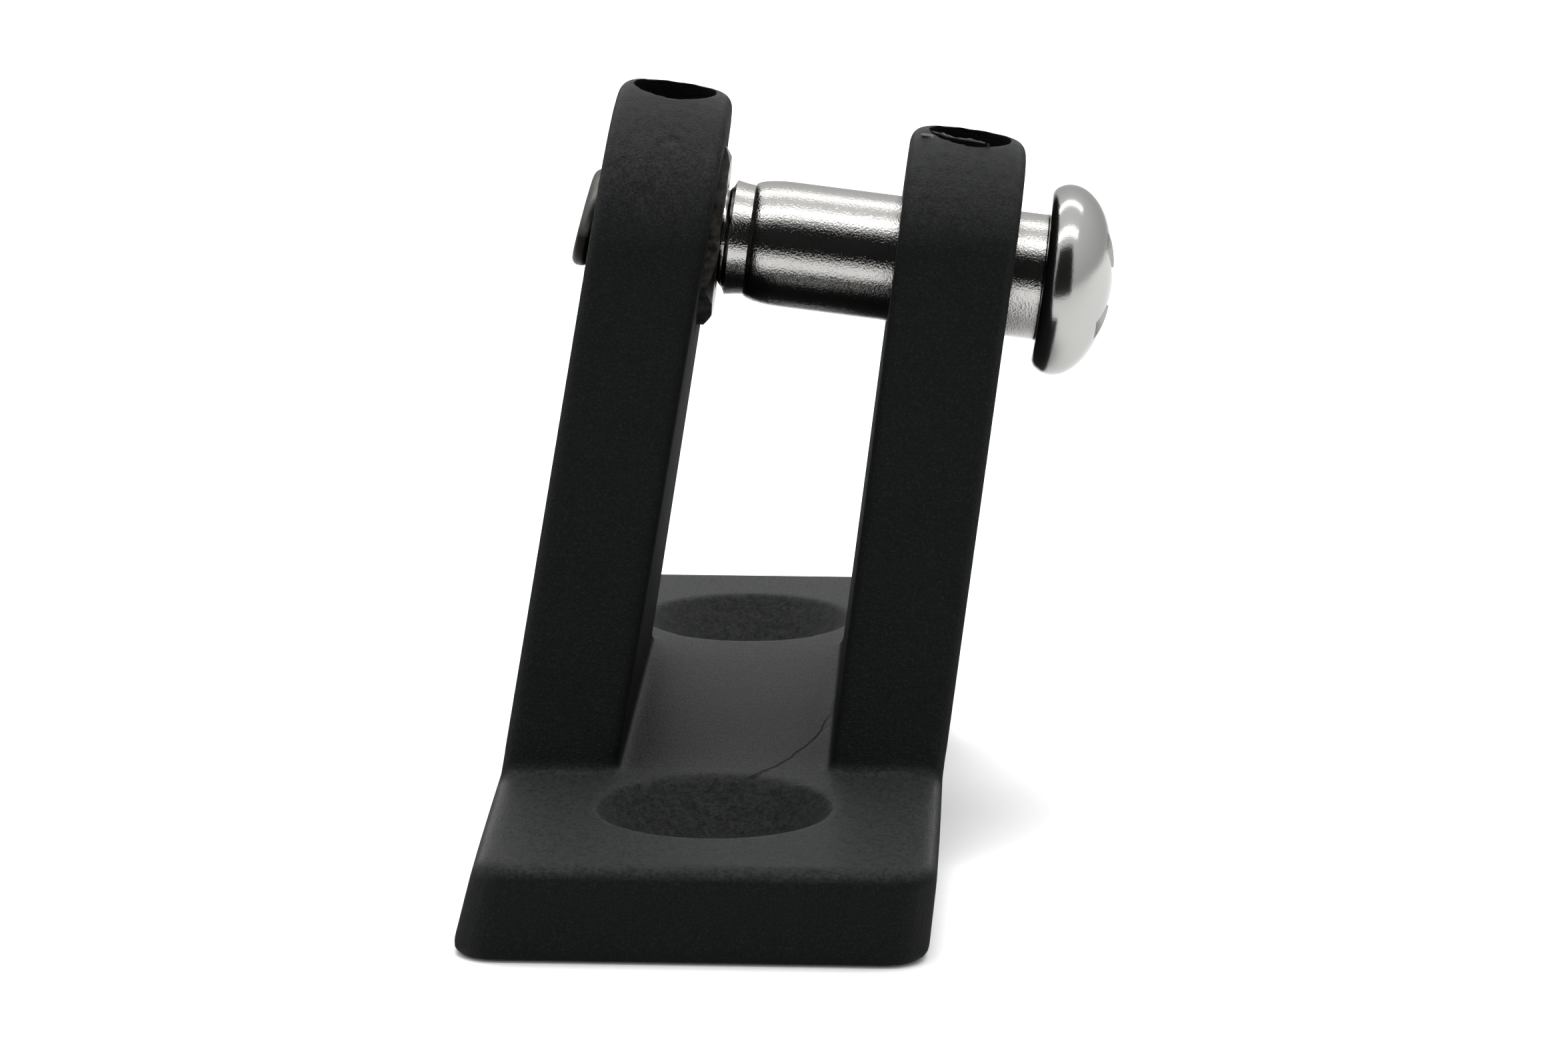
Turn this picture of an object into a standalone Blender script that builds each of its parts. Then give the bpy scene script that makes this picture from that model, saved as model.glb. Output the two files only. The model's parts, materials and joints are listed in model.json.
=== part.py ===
"""Angled deck hinge: a moulded nylon base with two leaning ears, a shoulder screw
across the ears and a hex nut held in the left ear.

Metres, +Z up. The base's underside lies on Z = 0 with its centre at the origin,
the base's length runs along Y and the ears lean towards +X.
"""

import math

import bmesh
import bpy
from mathutils import Matrix, Vector

MM = 0.001

# Base plate
BASE_LENGTH = 63.3 * MM
BASE_HALF_WIDTH_END = 10.87 * MM
BASE_HALF_WIDTH_MIDDLE = 11.17 * MM
BASE_THICKNESS = 4.4 * MM
BASE_CORNER_RADIUS = 2.0 * MM
BASE_TOP_ROUND = 0.8 * MM
BASE_FOOT_ROUND = 0.25 * MM
LEFT_WALL_SLOPE = 0.25
RIGHT_WALL_SLOPE = 0.100
END_WALL_SLOPE = 0.02

# Deck screw holes
HOLE_SPACING = 40.4 * MM
HOLE_X = 0.62 * MM
HOLE_RADIUS = 2.6 * MM
SINK_RADIUS = 5.72 * MM
SINK_DEPTH = 3.0 * MM

# Pin axis, which leans a little less than the ears
PIN_LEAN = math.radians(6.8)
PIN_AXIS_X = 4.12 * MM
PIN_AXIS_Z = 28.15 * MM

# Ears, in a leaning frame whose origin is on the pin axis, midway between them.
# Pairs are for the left ear and the right one.
LEAN = math.radians(7.9)
EAR_OUTER = (10.38 * MM, 10.46 * MM)
EAR_OUTER_DRAFT = (0.013, 0.006)
EAR_INNER = 4.66 * MM
EAR_INNER_DRAFT = 0.020
EAR_CROWN_RADIUS = 7.07 * MM
CROWN_RISE = (0.30 * MM, 0.10 * MM)
CROWN_FALL = 0.42 * MM
EAR_SIDE_ANGLE = math.radians(16.3)
EAR_EDGE_ROUND = 0.6 * MM
EAR_ROOT_Z = 2.0 * MM

# Openings in the ears
BORE_RADIUS = 3.35 * MM
NUT_POCKET_FLATS = 8.6 * MM
NUT_POCKET_FLOOR = -9.25 * MM
END_HOLE_RADIUS = 2.9 * MM
CROWN_HOLE_RADIUS = 1.95 * MM
CROWN_HOLE_X = 7.47 * MM
CROWN_HOLE_Y = -0.5 * MM
LEFT_CROWN_HOLE_DEPTH = 1.6 * MM
RIGHT_CROWN_HOLE_DEPTH = 2.9 * MM

# Hex nut
NUT_FLATS = 8.0 * MM
NUT_INNER_FACE = -4.12 * MM
NUT_OUTER_FACE = -8.95 * MM
NUT_CHAMFER = 0.3 * MM
NUT_BORE_RADIUS = 2.72 * MM

# Shoulder screw: stations run along the pin axis
SHOULDER_RADIUS = 3.175 * MM
SHOULDER_END = -0.80 * MM
GROOVE_STATION = -2.72 * MM
GROOVE_RADIUS = 2.78 * MM
COLLAR_FACE = (-3.82 * MM, 2.55 * MM)
COLLAR_CORNER = (-3.66 * MM, 2.92 * MM)
COLLAR_BACK = (-3.05 * MM, 2.81 * MM)
THREAD_RADIUS = 2.5 * MM
THREAD_PITCH = 0.8 * MM
THREAD_DEPTH = 0.40 * MM
THREAD_END = -3.92 * MM
THREAD_TIP = -11.55 * MM
TIP_FADE_START = -11.15 * MM
THREAD_TIP_RADIUS = 1.6 * MM
TIP_CHAMFER_STATION = -11.3 * MM
TIP_CHAMFER_RADIUS = 2.25 * MM
THREAD_START = -11.0 * MM
HEAD_UNDERSIDE = 12.1 * MM
HEAD_UNDERSIDE_RADIUS = 4.10 * MM
HEAD_FILLET_START = 11.8 * MM
HEAD_FILLET = 0.2 * MM
HEAD_WIDEST = 13.1 * MM
HEAD_RADIUS = 4.83 * MM
HEAD_APEX = 15.76 * MM
RECESS_DEPTH = 2.4 * MM
RECESS_TURN = math.radians(37)
RECESS_ARM_TOP = 4.3 * MM
RECESS_ARM_FLOOR = 1.2 * MM
RECESS_WIDTH_TOP = 1.4 * MM
RECESS_WIDTH_FLOOR = 0.9 * MM
RECESS_MOUTH = HEAD_APEX + 0.2 * MM

# Where the cutters for the bores start and end, and how far others stand past a face
PIN_BORE_SPAN = (2.0 * MM, 14.0 * MM)
END_HOLE_SPAN = (-7.0 * MM, -14.0 * MM)
NUT_POCKET_MOUTH = -2.0 * MM
NUT_BORE_SPAN = (-12.0 * MM, 0.0)
OVERRUN = 1.0 * MM
NUT_TRIM = 0.1 * MM

HEX_TURN = math.pi / 6
SCREW_SIDES = 32
STEPS_PER_PITCH = 4


def clear_scene():
    for obj in list(bpy.data.objects):
        bpy.data.objects.remove(obj, do_unlink=True)


def make_material(name, colour, roughness, metallic):
    material = bpy.data.materials.new(name)
    material.use_nodes = True
    shader = material.node_tree.nodes["Principled BSDF"]
    shader.inputs["Base Color"].default_value = (*colour, 1.0)
    shader.inputs["Roughness"].default_value = roughness
    shader.inputs["Metallic"].default_value = metallic
    return material


def add_object(name, bm, parent=None, material=None):
    bmesh.ops.recalc_face_normals(bm, faces=bm.faces)
    mesh = bpy.data.meshes.new(name)
    bm.to_mesh(mesh)
    bm.free()
    obj = bpy.data.objects.new(name, mesh)
    bpy.context.scene.collection.objects.link(obj)
    obj.parent = parent
    if material is not None:
        mesh.materials.append(material)
    return obj


def loft(rings):
    """A closed body through rings of points, with a flat cap on each end."""
    bm = bmesh.new()
    loops = [[bm.verts.new(point) for point in ring] for ring in rings]
    count = len(loops[0])
    for low, high in zip(loops, loops[1:]):
        for i in range(count):
            j = (i + 1) % count
            bm.faces.new((low[i], low[j], high[j], high[i]))
    bm.faces.new(loops[0])
    bm.faces.new(loops[-1])
    return bm


def smooth(obj, degrees):
    obj.data.shade_smooth()
    obj.data.set_sharp_from_angle(angle=math.radians(degrees))


def add_boolean(obj, tool, operation):
    tool.hide_render = True
    tool.display_type = "WIRE"
    modifier = obj.modifiers.new(tool.name, "BOOLEAN")
    modifier.operation = operation
    modifier.object = tool


def base_half_width(y):
    bow = BASE_HALF_WIDTH_MIDDLE - BASE_HALF_WIDTH_END
    return BASE_HALF_WIDTH_MIDDLE - bow * (2 * y / BASE_LENGTH) ** 2


def base_ring(z, inset):
    """The base's outline at one height: bowed long sides and rounded corners."""
    half_length = BASE_LENGTH / 2 - END_WALL_SLOPE * z - inset
    radius = BASE_CORNER_RADIUS - inset
    centre_y = half_length - radius
    quarter = []
    for i in range(5):
        y = centre_y * i / 5
        quarter.append((base_half_width(y) - inset, y))
    centre_x = base_half_width(centre_y) - inset - radius
    for i in range(6):
        angle = math.radians(18 * i)
        x = centre_x + radius * math.cos(angle)
        quarter.append((x, centre_y + radius * math.sin(angle)))
    upper = quarter + [(-x, y) for x, y in reversed(quarter)]
    outline = upper + [(x, -y) for x, y in reversed(upper) if y > 0]
    narrowing = (LEFT_WALL_SLOPE - RIGHT_WALL_SLOPE) / 2 * z / BASE_HALF_WIDTH_END
    shift = (LEFT_WALL_SLOPE + RIGHT_WALL_SLOPE) / 2 * z
    return [Vector((x * (1 - narrowing) + shift, y, z)) for x, y in outline]


def make_base(material):
    rings = [base_ring(0, BASE_FOOT_ROUND), base_ring(BASE_FOOT_ROUND, 0)]
    for i in range(5):
        angle = math.radians(22.5 * i)
        z = BASE_THICKNESS - BASE_TOP_ROUND * (1 - math.sin(angle))
        rings.append(base_ring(z, BASE_TOP_ROUND * (1 - math.cos(angle))))
    return add_object("hinge_body", loft(rings), material=material)


def ear_outline(x, lift):
    """Side view of an ear at one X in the leaning frame, from root to crown and back.
    Lift raises the crown there."""
    foot = (EAR_ROOT_Z - PIN_AXIS_Z + x * math.sin(LEAN)) / math.cos(LEAN)
    half_foot = EAR_CROWN_RADIUS / math.cos(EAR_SIDE_ANGLE)
    half_foot -= foot * math.tan(EAR_SIDE_ANGLE)
    points = [(half_foot, foot)]
    steps = 20
    level = math.sin(EAR_SIDE_ANGLE)
    for i in range(steps + 1):
        angle = EAR_SIDE_ANGLE + (math.pi - 2 * EAR_SIDE_ANGLE) * i / steps
        share = (math.sin(angle) - level) / (1 - level)
        y = EAR_CROWN_RADIUS * math.cos(angle)
        points.append((y, EAR_CROWN_RADIUS * math.sin(angle) + lift * share))
    points.append((-half_foot, foot))
    return points


def ear_ring(ear, across):
    """An ear's outline across its thickness, from 0 at the inner face to 1 at the
    outer. The crown is highest in the middle."""
    side = (-1, 1)[ear]
    middle = EAR_INNER + (EAR_OUTER[ear] - EAR_INNER) * across
    lift = CROWN_RISE[ear] - CROWN_FALL * (2 * across - 1) ** 2
    ring = []
    for y, z in ear_outline(side * middle, lift):
        inner = EAR_INNER - EAR_INNER_DRAFT * z
        outer = EAR_OUTER[ear] - EAR_OUTER_DRAFT[ear] * z
        ring.append(Vector((side * (inner + (outer - inner) * across), y, z)))
    return ring


def make_ear(name, ear, lean):
    rings = [ear_ring(ear, across / 6) for across in range(7)]
    obj = add_object(name, loft(rings), parent=lean)
    bevel = obj.modifiers.new("edge_round", "BEVEL")
    bevel.width = EAR_EDGE_ROUND
    bevel.segments = 3
    bevel.limit_method = "ANGLE"
    bevel.angle_limit = math.radians(40)
    return obj


def ring_about_x(x, radius, sides, turn=0.0):
    points = []
    for i in range(sides):
        angle = turn + 2 * math.pi * i / sides
        points.append(Vector((x, radius * math.cos(angle), radius * math.sin(angle))))
    return points


def make_rod(name, start, end, radius, sides, axis, turn=0.0):
    rings = [ring_about_x(x, radius, sides, turn) for x in (start, end)]
    return add_object(name, loft(rings), parent=axis)


def make_sink_cutter(name, y):
    """A countersink with a clearance hole below it, standing past both faces."""
    slope = (SINK_RADIUS - HOLE_RADIUS) / SINK_DEPTH
    levels = (
        (-OVERRUN, HOLE_RADIUS),
        (BASE_THICKNESS - SINK_DEPTH, HOLE_RADIUS),
        (BASE_THICKNESS + OVERRUN, SINK_RADIUS + slope * OVERRUN),
    )
    rings = []
    for z, radius in levels:
        ring = ring_about_x(z, radius, 40)
        rings.append([Vector((p.y, p.z, p.x)) for p in ring])
    cutter = add_object(name, loft(rings))
    cutter.location = (HOLE_X, y, 0)
    return cutter


def make_crown_cutter(name, x, depth, lean):
    rings = []
    for z in (EAR_CROWN_RADIUS - depth, EAR_CROWN_RADIUS + OVERRUN):
        ring = ring_about_x(z, CROWN_HOLE_RADIUS, 28)
        rings.append([Vector((p.y, p.z, p.x)) for p in ring])
    cutter = add_object(name, loft(rings), parent=lean)
    cutter.location = (x, CROWN_HOLE_Y, 0)
    return cutter


def make_hinge_body(lean, axis, material):
    body = make_base(material)
    for ear, name in enumerate(("left_ear", "right_ear")):
        add_boolean(body, make_ear(name, ear, lean), "UNION")
    for name, y in (("near_hole", -HOLE_SPACING / 2), ("far_hole", HOLE_SPACING / 2)):
        add_boolean(body, make_sink_cutter(name, y), "DIFFERENCE")
    bore = make_rod("pin_bore", *PIN_BORE_SPAN, BORE_RADIUS, 40, axis)
    add_boolean(body, bore, "DIFFERENCE")
    corner = NUT_POCKET_FLATS / 2 / math.cos(math.pi / 6)
    pocket = make_rod("nut_pocket", NUT_POCKET_MOUTH, NUT_POCKET_FLOOR, corner, 6, axis, HEX_TURN)
    add_boolean(body, pocket, "DIFFERENCE")
    end_hole = make_rod("end_hole", *END_HOLE_SPAN, END_HOLE_RADIUS, 36, axis)
    add_boolean(body, end_hole, "DIFFERENCE")
    left = make_crown_cutter("left_crown_hole", -CROWN_HOLE_X, LEFT_CROWN_HOLE_DEPTH, lean)
    add_boolean(body, left, "DIFFERENCE")
    right = make_crown_cutter("right_crown_hole", CROWN_HOLE_X, RIGHT_CROWN_HOLE_DEPTH, lean)
    add_boolean(body, right, "DIFFERENCE")
    smooth(body, 35)
    return body


def make_nut(axis, material):
    """A hex nut with corners up and down, turned off at both faces."""
    corner = NUT_FLATS / 2 / math.cos(math.pi / 6)
    hexagon = make_rod("hex_nut", NUT_OUTER_FACE, NUT_INNER_FACE, corner, 6, axis, HEX_TURN)
    hexagon.data.materials.append(material)
    crown = NUT_FLATS / 2
    rings = [
        ring_about_x(NUT_OUTER_FACE - NUT_TRIM, crown - NUT_TRIM, 48),
        ring_about_x(NUT_OUTER_FACE + 2 * NUT_CHAMFER, corner + NUT_CHAMFER, 48),
        ring_about_x(NUT_INNER_FACE - 2 * NUT_CHAMFER, corner + NUT_CHAMFER, 48),
        ring_about_x(NUT_INNER_FACE + NUT_TRIM, crown - NUT_TRIM, 48),
    ]
    turned = add_object("nut_turning", loft(rings), parent=axis)
    add_boolean(hexagon, turned, "INTERSECT")
    bore = make_rod("nut_bore", *NUT_BORE_SPAN, NUT_BORE_RADIUS, 40, axis)
    add_boolean(hexagon, bore, "DIFFERENCE")
    smooth(hexagon, 30)
    return hexagon


def thread_radius(x, angle):
    """Height of the helical thread at one station and angle, faded out at both ends."""
    phase = (x / THREAD_PITCH - angle / (2 * math.pi)) % 1.0
    wave = 1 - abs(2 * phase - 1)
    tip_fade = min(1.0, max(0.0, (x - TIP_FADE_START) / THREAD_PITCH))
    neck_fade = min(1.0, max(0.0, (THREAD_END - x) / (THREAD_PITCH / 4)))
    return THREAD_RADIUS - THREAD_DEPTH * (1 - wave) * min(tip_fade, neck_fade)


def quarter_ellipse(centre, reach, steps, rising):
    """Stations and radii along a quarter of an ellipse whose middle is at centre. A
    rising quarter climbs to its widest point, and a falling one comes down from it."""
    points = []
    for k in range(steps + 1):
        angle = math.pi / 2 * k / steps
        if rising:
            along, out = -math.cos(angle), math.sin(angle)
        else:
            along, out = math.sin(angle), math.cos(angle)
        points.append((centre[0] + reach[0] * along, centre[1] + reach[1] * out))
    return points


def neck_profile():
    """A narrow collar, the groove behind it and the shoulder's rounded end."""
    reach = (SHOULDER_END - GROOVE_STATION, SHOULDER_RADIUS - GROOVE_RADIUS)
    rounded_end = quarter_ellipse((SHOULDER_END, GROOVE_RADIUS), reach, 3, rising=True)
    return [COLLAR_FACE, COLLAR_CORNER, COLLAR_BACK] + rounded_end


def head_profile():
    """The small fillet under the head, its rounded rim and its dome."""
    fillet = [(HEAD_FILLET_START, SHOULDER_RADIUS), (HEAD_UNDERSIDE, SHOULDER_RADIUS + HEAD_FILLET)]
    rim_reach = (HEAD_WIDEST - HEAD_UNDERSIDE, HEAD_RADIUS - HEAD_UNDERSIDE_RADIUS)
    rim = quarter_ellipse((HEAD_WIDEST, HEAD_UNDERSIDE_RADIUS), rim_reach, 4, rising=True)
    dome = quarter_ellipse((HEAD_WIDEST, 0), (HEAD_APEX - HEAD_WIDEST, HEAD_RADIUS), 8, rising=False)
    return fillet + rim + dome[1:-1]


def make_screw(axis, material):
    rings = [ring_about_x(THREAD_TIP, THREAD_TIP_RADIUS, SCREW_SIDES)]
    rings.append(ring_about_x(TIP_CHAMFER_STATION, TIP_CHAMFER_RADIUS, SCREW_SIDES))
    length = THREAD_END - THREAD_START
    count = round(length / THREAD_PITCH * STEPS_PER_PITCH)
    for k in range(count + 1):
        x = THREAD_START + length * k / count
        ring = []
        for i in range(SCREW_SIDES):
            angle = 2 * math.pi * i / SCREW_SIDES
            radius = thread_radius(x, angle)
            ring.append(Vector((x, radius * math.cos(angle), radius * math.sin(angle))))
        rings.append(ring)
    for x, radius in neck_profile() + head_profile():
        rings.append(ring_about_x(x, radius, SCREW_SIDES))
    bm = loft(rings)
    crown = [f for f in bm.faces if len(f.verts) == SCREW_SIDES and f.calc_center_median().x > 0]
    apex = bmesh.ops.poke(bm, faces=crown)["verts"][0]
    apex.co = Vector((HEAD_APEX, 0, 0))
    screw = add_object("pivot_screw", bm, parent=axis, material=material)
    add_boolean(screw, make_recess_cutter(axis), "DIFFERENCE")
    smooth(screw, 40)
    return screw


def cross_ring(x, arm, width):
    """A plus-shaped outline square to the pin axis."""
    w = width / 2
    corner = [(arm, -w), (arm, w), (w, w)]
    points = []
    for quarter in range(4):
        turn = Matrix.Rotation(RECESS_TURN + quarter * math.pi / 2, 2)
        points += [turn @ Vector(point) for point in corner]
    return [Vector((x, p.x, p.y)) for p in points]


def make_recess_cutter(axis):
    floor = cross_ring(HEAD_APEX - RECESS_DEPTH, RECESS_ARM_FLOOR, RECESS_WIDTH_FLOOR)
    mouth = cross_ring(RECESS_MOUTH, RECESS_ARM_TOP, RECESS_WIDTH_TOP)
    return add_object("cross_recess", loft([floor, mouth]), parent=axis)


def add_leaning_frame(name, angle):
    """An empty at the middle of the pin axis, leaning towards +X by an angle."""
    frame = bpy.data.objects.new(name, None)
    bpy.context.scene.collection.objects.link(frame)
    frame.location = (PIN_AXIS_X, 0, PIN_AXIS_Z)
    frame.rotation_euler = (0, angle, 0)
    return frame


def main():
    clear_scene()
    nylon = make_material("black_nylon", (0.022, 0.024, 0.025), 0.5, 0.0)
    stainless = make_material("stainless_screw", (0.72, 0.70, 0.67), 0.16, 1.0)
    nut_steel = make_material("stainless_nut", (0.55, 0.53, 0.50), 0.22, 1.0)
    lean = add_leaning_frame("ear_lean", LEAN)
    axis = add_leaning_frame("pin_axis", PIN_LEAN)
    make_hinge_body(lean, axis, nylon)
    make_nut(axis, nut_steel)
    make_screw(axis, stainless)


main()
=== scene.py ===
"""The looks of the angled deck hinge: its moulded nylon body, polished shoulder
screw and hex nut, on a pale floor under soft studio light. Lengths are in metres;
names with _MM are in millimetres."""

import json
import math

import bmesh
import bpy
from mathutils import Matrix, Vector

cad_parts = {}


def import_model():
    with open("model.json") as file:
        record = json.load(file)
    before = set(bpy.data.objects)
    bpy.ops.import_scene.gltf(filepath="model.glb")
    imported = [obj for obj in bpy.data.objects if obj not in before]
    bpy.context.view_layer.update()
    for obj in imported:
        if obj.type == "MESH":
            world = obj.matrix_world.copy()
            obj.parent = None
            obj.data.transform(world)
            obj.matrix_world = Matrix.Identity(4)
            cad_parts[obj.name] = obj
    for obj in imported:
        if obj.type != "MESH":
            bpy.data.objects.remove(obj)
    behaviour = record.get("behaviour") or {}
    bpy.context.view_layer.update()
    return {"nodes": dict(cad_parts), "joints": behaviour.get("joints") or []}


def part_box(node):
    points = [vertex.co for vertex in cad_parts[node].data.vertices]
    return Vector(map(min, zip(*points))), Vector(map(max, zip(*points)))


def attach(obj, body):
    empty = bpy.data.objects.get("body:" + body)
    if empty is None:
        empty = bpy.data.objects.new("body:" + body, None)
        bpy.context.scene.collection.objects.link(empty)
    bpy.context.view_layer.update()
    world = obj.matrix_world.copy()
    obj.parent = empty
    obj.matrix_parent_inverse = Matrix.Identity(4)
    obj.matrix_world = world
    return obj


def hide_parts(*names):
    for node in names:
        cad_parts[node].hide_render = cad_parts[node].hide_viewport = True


MM = 0.001

# Where the nut's middle lies along the pin axis, measured from midway between the ears
NUT_STATION_MM = -6.535

# The ears lean a little more than the pin, about the same point, and the blind holes in
# their crowns run along that lean. Places in the ears' frame are measured from there.
EAR_LEAN = math.radians(7.9)
CROWN_HOLE_STATIONS_MM = (-7.47, 7.47)
CROWN_HOLE_Y_MM = -0.5
CROWN_HOLE_RADIUS_MM = 2.07
CROWN_HOLE_FLOOR_MM = (5.85, 4.6)
CROWN_HOLE_TOP_MM = 9.0
CROWN_HOLE_SIDES = 96

# Moulded body: remeshed finely, softened, and thinned to a share of its triangles
VOXEL = 0.16 * MM
EDGE_SMOOTHING = 4
BODY_KEEP = 0.26
BASE_TOP_MM = 4.4
ROOT_FILLET_REACH = 0.9 * MM
ROOT_FILLET_HALF_LENGTH = 16 * MM
ROOT_SMOOTHING = 14
BODY_SHARP_ANGLE = math.radians(50)

# Shoulder screw. Stations run along the pin axis from midway between the ears, and the
# pairs for the collar and the groove are a station and a radius.
SCREW_SIDES = 112
SCREW_SHARP_ANGLE = math.radians(28)
TIP_ROUND_MM = 0.45
TIP_ROUND_STEPS = 5
TIP_SLANT = 0.14
TIP_RISE_MM = 0.13
TIP_BEND_MM = (-10.4, -9.6)
THREAD_RADIUS_MM = 2.5
THREAD_PITCH_MM = 0.8
THREAD_DEPTH_MM = 0.42
THREAD_START_MM = -11.0
THREAD_END_MM = -3.9
THREAD_STEPS_PER_PITCH = 10
THREAD_STEEPNESS = 1.25
THREAD_ROOT_FLAT = 0.05
THREAD_NECK_FADE_MM = 0.15 * THREAD_PITCH_MM
COLLAR_FACE_MM = (-3.82, 2.56)
COLLAR_CORNER_MM = (-3.66, 2.92)
COLLAR_BACK_MM = (-3.05, 2.81)
GROOVE_MM = (-2.72, 2.78)
SHOULDER_END_MM = -0.80
SHOULDER_RADIUS_MM = 3.175
SHOULDER_END_STEPS = 8
HEAD_UNDERSIDE_MM = 12.1
HEAD_UNDERSIDE_RADIUS_MM = 4.10
HEAD_FILLET_MM = 0.05
HEAD_WIDEST_MM = 13.1
HEAD_RIM_STEPS = 9
HEAD_DOME_STEPS = 22

# Cross recess in the head; its cutter starts outside the dome
RECESS_DEPTH_MM = 2.4
RECESS_OVERRUN_MM = 0.2
RECESS_TURN = math.radians(37)
RECESS_ARM_TOP_MM = 4.3
RECESS_ARM_FLOOR_MM = 1.2
RECESS_WIDTH_TOP_MM = 1.4
RECESS_WIDTH_FLOOR_MM = 0.9

# A sliver of flash left inside the right crown's hole, by angle about the hole. Its
# raggedness is a sum of waves, each with a height, a count about the hole and a start.
FLASH_ARC = (math.radians(192), math.radians(296))
FLASH_RADIUS_MM = 1.62
FLASH_THICKNESS_MM = 0.09
FLASH_SPAN_MM = (6.3, 6.88)
FLASH_STEPS = 60
FLASH_FACE_WAVES_MM = ((0.06, 5, 0.5), (0.025, 13, 0.0))
FLASH_RIM_WAVES_MM = ((0.03, 7, 0.0), (0.015, 19, 0.0))
FLASH_BURIED_MM = 0.05
FLASH_RUNOUT_POWER = 8

# A scrap of nylon on the right crown and a dent in the front of the left one, both in
# the ears' leaning frame
SCRAP_PLACE_MM = (5.28, -1.78, 6.72)
SCRAP_REACH_MM = (0.32, 0.26, 0.08)
DENT_PLACE_MM = (-6.9, -5.0, 5.05)
DENT_REACH_MM = (0.5, 1.5, 0.22)

# Hex nut
NUT_CHAMFER_MM = 0.3
NUT_TURNING_OVERLAP_MM = 0.1
NUT_TURNING_SIDES = 96
NUT_BORE_MM = 2.66
NUT_BORE_SIDES = 72
NUT_BORE_OVERRUN_MM = 1.0
NUT_EDGE_MM = 0.05
NUT_EDGE_SEGMENTS = 2
NUT_EDGE_ANGLE = math.radians(25)
NUT_SHARP_ANGLE = math.radians(35)

# The oval line left by a mould insert, on the base between the ears
WITNESS_CENTRE_MM = (0.12, 2.5, BASE_TOP_MM)
WITNESS_REACH_MM = (5.8, 18.5, 2.0)
WITNESS_WIDTH = 0.018
WITNESS_WAVER_MM = 0.15
WITNESS_START_X_MM = (1.0, 2.2)
WITNESS_END_Y_MM = (-4.0, 2.0)
WITNESS_UNDER_TOP_MM = (0.15, 0.05)

# Where marks fade in: painted top light towards the base's ends, scuffs up the crowns, painted
# shade below the rims of the crown holes, paleness on the flash and round the scrap
# Painted light on faces that look up, fading in towards the base's ends; between the ears only a
# share of it, as painted shade
TOP_LIGHT_Y_MM = (9.0, 14.0)
TOP_LIGHT_FACING_UP = (0.3, 0.9)
SCUFF_HEIGHT_MM = (29.0, 35.5)
# Painted shade: the crown holes' insides are painted black, fading out just past the rim
HOLE_SHADE_FADE_MM = 0.05
FLASH_PALE_MM = (0.10, 0.02)
FLASH_INSIDE_MM = (0.1, 0.05)
SCRAP_FADE = (1.1, 1.4)
DENT_FADE = (0.3, 1.1)

# Noises: scale per millimetre, detail and roughness. Most of a noise's values lie
# between the two levels.
NOISE_LOW, NOISE_HIGH = 0.3, 0.7
CLOUD_NOISE = (0.35, 3, 0.5)
WAVE_NOISE = (0.6, 2, 0.5)
WAVER_NOISE = (0.4, 2, 0.5)
MOTTLE_NOISE = (1.8, 5, 0.7)
GRIT_NOISE = (5.0, 4, 0.7)
GRAIN_NOISE = (10.0, 3, 0.65)
SMEAR_NOISE = (0.7, 4, 0.5)
FLECK_NOISE = (10.0, 2, 0.6)
STREAK_NOISE = (1.6, 4, 0.6)
PITTING_NOISE = (12.0, 2, 0.6)
FLOOR_NOISE = (0.02, 2, 0.5)

# How marks follow a noise: strength goes from the first number to the second while the
# noise goes from the third to the fourth
SPECK_PATCHES = (0.0, 0.8, 0.5, 0.75)
SCUFF_MOTTLE = (0.5, 1.3, 0.35, 0.65)
SCUFF_GRAIN = (0.2, 1.3, 0.35, 0.65)
# The patchiness of the painted light on the tops
TOP_LIGHT_MOTTLE = (0.4, 1.4, NOISE_LOW, NOISE_HIGH)
TOP_LIGHT_GRIT = (0.45, 1.55, 0.40, 0.62)
TOP_LIGHT_MIDDLE_SHARE = 0.6
NUT_STREAKS = (0.0, 1.0, 0.40, 0.75)

# Nylon; faces that look sideways are rougher
NYLON_DARK = (0.0022, 0.0028, 0.0028)
NYLON_LIGHT = (0.0038, 0.0044, 0.0042)
SPECK_COLOUR = (0.014, 0.0145, 0.0145)
SCUFF_COLOUR = (0.030, 0.031, 0.030)
# Painted light: the lighter colour laid on faces that look up
TOP_LIGHT_COLOUR = (0.018, 0.019, 0.0185)
WITNESS_COLOUR = (0.001, 0.001, 0.001)
# Painted shade inside the crown holes
HOLE_PAINTED_SHADE_COLOUR = (0.001, 0.001, 0.001)
FLASH_COLOUR = (0.10, 0.10, 0.095)
SCRAP_COLOUR = (0.09, 0.09, 0.085)
NYLON_ROUGHNESS = (0.30, 0.56)
NYLON_SIDE_ROUGHNESS = 0.8
NYLON_FACING_SIDE = (0.6, 0.95)
NYLON_SPECULAR = 0.06
WAVE_RELIEF_MM = 0.03
MOTTLE_RELIEF_MM = 0.05
GRIT_RELIEF_MM = 0.03
GRAIN_RELIEF_MM = 0.065
DENT_RELIEF_MM = 0.08
WITNESS_RELIEF_MM = -0.08

# The screw's steel; the head and the cut end differ from the shoulder
STEEL_LIGHT = (0.42, 0.415, 0.40)
STEEL_DARK = (0.38, 0.373, 0.36)
STEEL_HEAD = (0.34, 0.338, 0.328)
STEEL_TINT = (0.7, 0.7, 0.7)
HEAD_START_MM = (12.0, 12.6)
CUT_END_MM = (-9.6, -9.0)
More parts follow.
